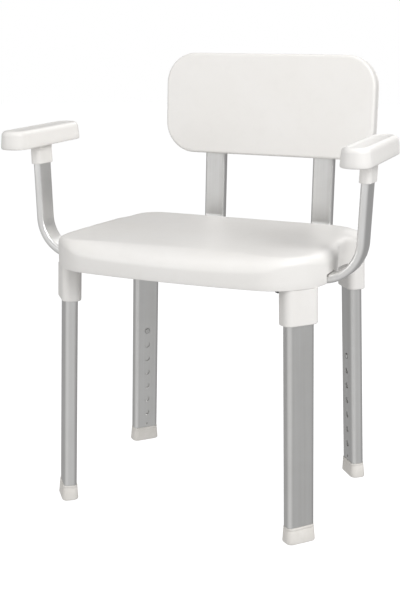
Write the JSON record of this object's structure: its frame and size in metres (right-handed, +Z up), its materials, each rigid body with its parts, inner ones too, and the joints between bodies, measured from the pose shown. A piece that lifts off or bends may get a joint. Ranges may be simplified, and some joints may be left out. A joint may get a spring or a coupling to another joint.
{
  "type": "shower chair",
  "caption": "Free-standing shower chair with height-adjustable splayed legs, moulded seat, removable armrests and a removable padded-edge backrest.",
  "frame": {"origin": "on the floor, under the middle of the chair's outline", "axes": "+Z up, the sitter faces -Y, and +X is to the sitter's left. In node names, left and right are as seen from the front, so left is the -X side"},
  "size_m": [0.56, 0.4314, 0.6747],
  "materials": {
    "seat_plastic": "satin moulded, white",
    "backrest_plastic": "satin moulded, white",
    "armrest_plastic": "satin moulded, white",
    "moulded_plastic": "satin moulded, white",
    "anodised_tube": "satin anodised, drawn lengthwise",
    "foot_rubber": "matt, pale grey",
    "button_steel": "polished",
    "spring_steel": "bright strip",
    "screw_steel": "stainless",
    "nut_brass": "machined",
    "knob_plastic": "fine textured grey"
  },
  "bodies": {
    "root": {"clamp_nuts": "nut_brass", "front_left_leg_socket": "moulded_plastic", "front_left_outer_leg": "anodised_tube", "front_right_leg_socket": "moulded_plastic", "front_right_outer_leg": "anodised_tube", "left_arm_receiver": "moulded_plastic", "left_back_receiver": "moulded_plastic", "rear_left_leg_socket": "moulded_plastic", "rear_left_outer_leg": "anodised_tube", "rear_right_leg_socket": "moulded_plastic", "rear_right_outer_leg": "anodised_tube", "receiver_screws": "screw_steel", "right_arm_receiver": "moulded_plastic", "right_back_receiver": "moulded_plastic", "seat_ribs_and_bosses": "seat_plastic", "seat_shell": "seat_plastic", "socket_screws": "screw_steel"},
    "front_left_leg": {"front_left_inner_leg": "anodised_tube", "front_left_foot": "foot_rubber", "front_left_leg_spring": "spring_steel"},
    "front_left_button": {"front_left_leg_button": "button_steel"},
    "front_right_leg": {"front_right_inner_leg": "anodised_tube", "front_right_foot": "foot_rubber", "front_right_leg_spring": "spring_steel"},
    "front_right_button": {"front_right_leg_button": "button_steel"},
    "rear_left_leg": {"rear_left_inner_leg": "anodised_tube", "rear_left_foot": "foot_rubber", "rear_left_leg_spring": "spring_steel"},
    "rear_left_button": {"rear_left_leg_button": "button_steel"},
    "rear_right_leg": {"rear_right_inner_leg": "anodised_tube", "rear_right_foot": "foot_rubber", "rear_right_leg_spring": "spring_steel"},
    "rear_right_button": {"rear_right_leg_button": "button_steel"},
    "left_arm": {"left_arm_tube": "anodised_tube", "left_armrest_bracket": "moulded_plastic", "left_armrest_pad": "armrest_plastic", "left_armrest_screws": "screw_steel"},
    "left_arm_knob": {"left_arm_clamp_knob": "knob_plastic"},
    "left_back_knob": {"left_back_clamp_knob": "knob_plastic"},
    "right_arm": {"right_arm_tube": "anodised_tube", "right_armrest_bracket": "moulded_plastic", "right_armrest_pad": "armrest_plastic", "right_armrest_screws": "screw_steel"},
    "right_arm_knob": {"right_arm_clamp_knob": "knob_plastic"},
    "right_back_knob": {"right_back_clamp_knob": "knob_plastic"},
    "back": {"left_back_post": "anodised_tube", "right_back_post": "anodised_tube", "backrest_front_panel": "backrest_plastic", "backrest_rear_cover": "backrest_plastic", "backrest_screws": "screw_steel"}
  },
  "joints": [
    {"name": "front_left_leg_extension", "type": "slide", "parent": "root", "child": "front_left_leg", "axis": [-0.027, -0.008, -0.9996], "range_m": [0, 0.15]},
    {"name": "front_left_leg_button_press", "type": "slide", "parent": "front_left_leg", "child": "front_left_button", "axis": [-0.7658, -0.6426, 0.0258], "range_m": [0, 0.0041], "stiffness_N_per_m": 1500, "deforming": ["front_left_leg_spring"]},
    {"name": "front_right_leg_extension", "type": "slide", "parent": "root", "child": "front_right_leg", "axis": [0.027, -0.008, -0.9996], "range_m": [0, 0.15]},
    {"name": "front_right_leg_button_press", "type": "slide", "parent": "front_right_leg", "child": "front_right_button", "axis": [0.7658, -0.6426, 0.0258], "range_m": [0, 0.0041], "stiffness_N_per_m": 1500, "deforming": ["front_right_leg_spring"]},
    {"name": "rear_left_leg_extension", "type": "slide", "parent": "root", "child": "rear_left_leg", "axis": [-0.035, 0.031, -0.9989], "range_m": [0, 0.15]},
    {"name": "rear_left_leg_button_press", "type": "slide", "parent": "rear_left_leg", "child": "rear_left_button", "axis": [-0.7652, 0.6421, 0.0467], "range_m": [0, 0.0041], "stiffness_N_per_m": 1500, "deforming": ["rear_left_leg_spring"]},
    {"name": "rear_right_leg_extension", "type": "slide", "parent": "root", "child": "rear_right_leg", "axis": [0.035, 0.031, -0.9989], "range_m": [0, 0.15]},
    {"name": "rear_right_leg_button_press", "type": "slide", "parent": "rear_right_leg", "child": "rear_right_button", "axis": [0.7652, 0.6421, 0.0467], "range_m": [0, 0.0041], "stiffness_N_per_m": 1500, "deforming": ["rear_right_leg_spring"]},
    {"name": "left_arm_removal", "type": "slide", "parent": "root", "child": "left_arm", "axis": [-1, 0, 0], "range_m": [0, 0.105]},
    {"name": "left_arm_knob_turn", "type": "hinge", "parent": "root", "child": "left_arm_knob", "pos_m": [-0.14, -0.111, 0.35], "axis": [0, 0, -1], "range_deg": [0, 540]},
    {"name": "right_arm_removal", "type": "slide", "parent": "root", "child": "right_arm", "axis": [1, 0, 0], "range_m": [0, 0.105]},
    {"name": "right_arm_knob_turn", "type": "hinge", "parent": "root", "child": "right_arm_knob", "pos_m": [0.14, -0.111, 0.35], "axis": [0, 0, -1], "range_deg": [0, 540]},
    {"name": "back_removal", "type": "slide", "parent": "root", "child": "back", "axis": [0, 1, 0], "range_m": [0, 0.12]},
    {"name": "left_back_knob_turn", "type": "hinge", "parent": "root", "child": "left_back_knob", "pos_m": [-0.0977, 0.04, 0.35], "axis": [0, 0, -1], "range_deg": [0, 540]},
    {"name": "right_back_knob_turn", "type": "hinge", "parent": "root", "child": "right_back_knob", "pos_m": [0.0977, 0.04, 0.35], "axis": [0, 0, -1], "range_deg": [0, 540]}
  ]
}
